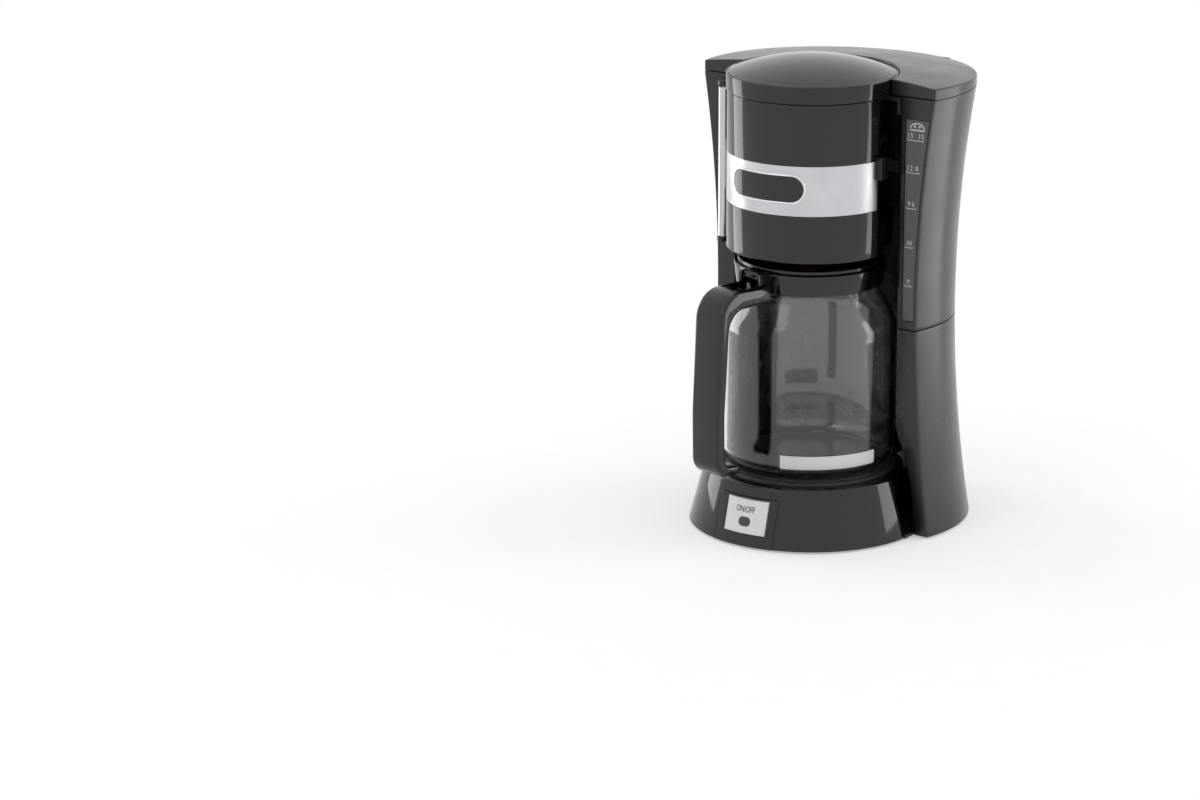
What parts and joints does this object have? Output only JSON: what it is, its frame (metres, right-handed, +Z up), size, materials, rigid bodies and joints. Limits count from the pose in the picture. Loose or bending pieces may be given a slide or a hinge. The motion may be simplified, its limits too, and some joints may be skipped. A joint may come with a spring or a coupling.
{
  "type": "drip coffee maker",
  "caption": "Drip coffee maker with a C-shaped water tank, swing-out filter door, warming plate and a lidded glass carafe with a side handle.",
  "frame": {"origin": "on the resting plane, on the brew axis that the carafe, warming plate, filter door and brew cap share", "axes": "+Z up, front towards -Y, +X to the right of a person facing the front"},
  "size_m": [0.2028, 0.2456, 0.343],
  "materials": {
    "gloss_black": "glossy injection-moulded ABS",
    "satin_black": "satin moulded polypropylene",
    "inner_black": "fine-textured polypropylene",
    "brushed_silver": "brushed stainless band",
    "satin_silver": "silver-painted button",
    "pilot_grey": "dark translucent window",
    "amber_lamp": "neon indicator lamp",
    "smoke_gauge": "smoke-grey clear moulding",
    "clear_tank": "translucent tank moulding",
    "carafe_glass": "clear borosilicate glass",
    "plate_coat": "non-stick coated steel",
    "aluminium": "cast aluminium",
    "spring_steel": "bright spring steel",
    "zinc_screw": "zinc-plated steel",
    "silicone": "translucent silicone hose",
    "red_silicone": "red silicone seal",
    "black_rubber": "soft black rubber",
    "ivory_plastic": "ivory heat-resistant moulding",
    "wire_jacket": "wire insulation",
    "gold_mesh": "woven filter mesh"
  },
  "bodies": {
    "machine": {"base_housing": "gloss_black", "switch_fascia": "gloss_black", "lower_housing": "gloss_black", "upper_housing": "gloss_black", "brew_cap": "gloss_black", "bottom_plate": "satin_black", "brew_deck": "inner_black", "switch_module": "inner_black", "cord_gland": "inner_black", "pilot_lamp": "amber_lamp", "water_gauge": "smoke_gauge", "water_tank": "clear_tank", "warming_plate": "plate_coat", "heat_spreader": "aluminium", "heating_tube": "aluminium", "heater_clamp": "aluminium", "switch_spring": "spring_steel", "lid_hinge_pin": "spring_steel", "door_hinge_pins": "spring_steel", "bottom_screws": "zinc_screw", "clamp_nuts": "zinc_screw", "cold_hose": "silicone", "hot_hose": "silicone", "rubber_feet": "black_rubber", "plate_seal": "black_rubber", "thermostat": "ivory_plastic", "thermal_fuse": "ivory_plastic", "check_valve": "ivory_plastic", "riser_tube": "ivory_plastic", "shower_head": "ivory_plastic", "outlet_strainer": "ivory_plastic", "wiring": "wire_jacket"},
    "tank_lid": {"tank_lid": "gloss_black"},
    "door": {"filter_door": "gloss_black", "door_band": "brushed_silver", "door_latch": "inner_black"},
    "holder": {"filter_holder": "satin_black", "valve_cage": "ivory_plastic", "filter_frame": "inner_black", "filter_mesh": "gold_mesh", "drip_spring": "spring_steel"},
    "drip_valve": {"drip_valve": "red_silicone"},
    "carafe": {"carafe_glass": "carafe_glass", "carafe_collar": "gloss_black", "carafe_handle": "gloss_black", "handle_screw": "zinc_screw", "carafe_lid_pin": "spring_steel"},
    "carafe_lid": {"carafe_lid": "satin_black", "knob_spring": "spring_steel"},
    "lid_knob": {"lid_knob": "satin_black"},
    "power_button": {"power_button": "satin_silver", "pilot_window": "pilot_grey"}
  },
  "joints": [
    {"name": "tank_lid_hinge", "type": "hinge", "parent": "machine", "child": "tank_lid", "pos_m": [0, 0.134, 0.3202], "axis": [-1, 0, 0], "range_deg": [0, 85]},
    {"name": "filter_door_hinge", "type": "hinge", "parent": "machine", "child": "door", "pos_m": [-0.0665, -0.0115, 0.262], "axis": [0, 0, -1], "range_deg": [0, 95]},
    {"name": "filter_holder_lift", "type": "slide", "parent": "door", "child": "holder", "axis": [0, 0, 1], "range_m": [0, 0.008]},
    {"name": "drip_valve_lift", "type": "slide", "parent": "holder", "child": "drip_valve", "axis": [0, 0, 1], "range_m": [0, 0.003], "stiffness_N_per_m": 120, "springref_m": -0.003, "deforming": ["drip_spring"]},
    {"name": "carafe_pull_out", "type": "slide", "parent": "machine", "child": "carafe", "axis": [0, -1, 0], "range_m": [0, 0.18]},
    {"name": "carafe_lid_hinge", "type": "hinge", "parent": "carafe", "child": "carafe_lid", "pos_m": [-0.01033, -0.0586, 0.1925], "axis": [0.9848, -0.1736, 0], "range_deg": [0, 5]},
    {"name": "lid_knob_press", "type": "slide", "parent": "carafe_lid", "child": "lid_knob", "axis": [0, 0, -1], "range_m": [0, 0.002], "stiffness_N_per_m": 150, "springref_m": -0.003, "deforming": ["knob_spring"]},
    {"name": "power_button_press", "type": "slide", "parent": "machine", "child": "power_button", "axis": [0, 1, 0], "range_m": [0, 0.0025], "stiffness_N_per_m": 400, "springref_m": -0.001, "deforming": ["switch_spring"]}
  ]
}
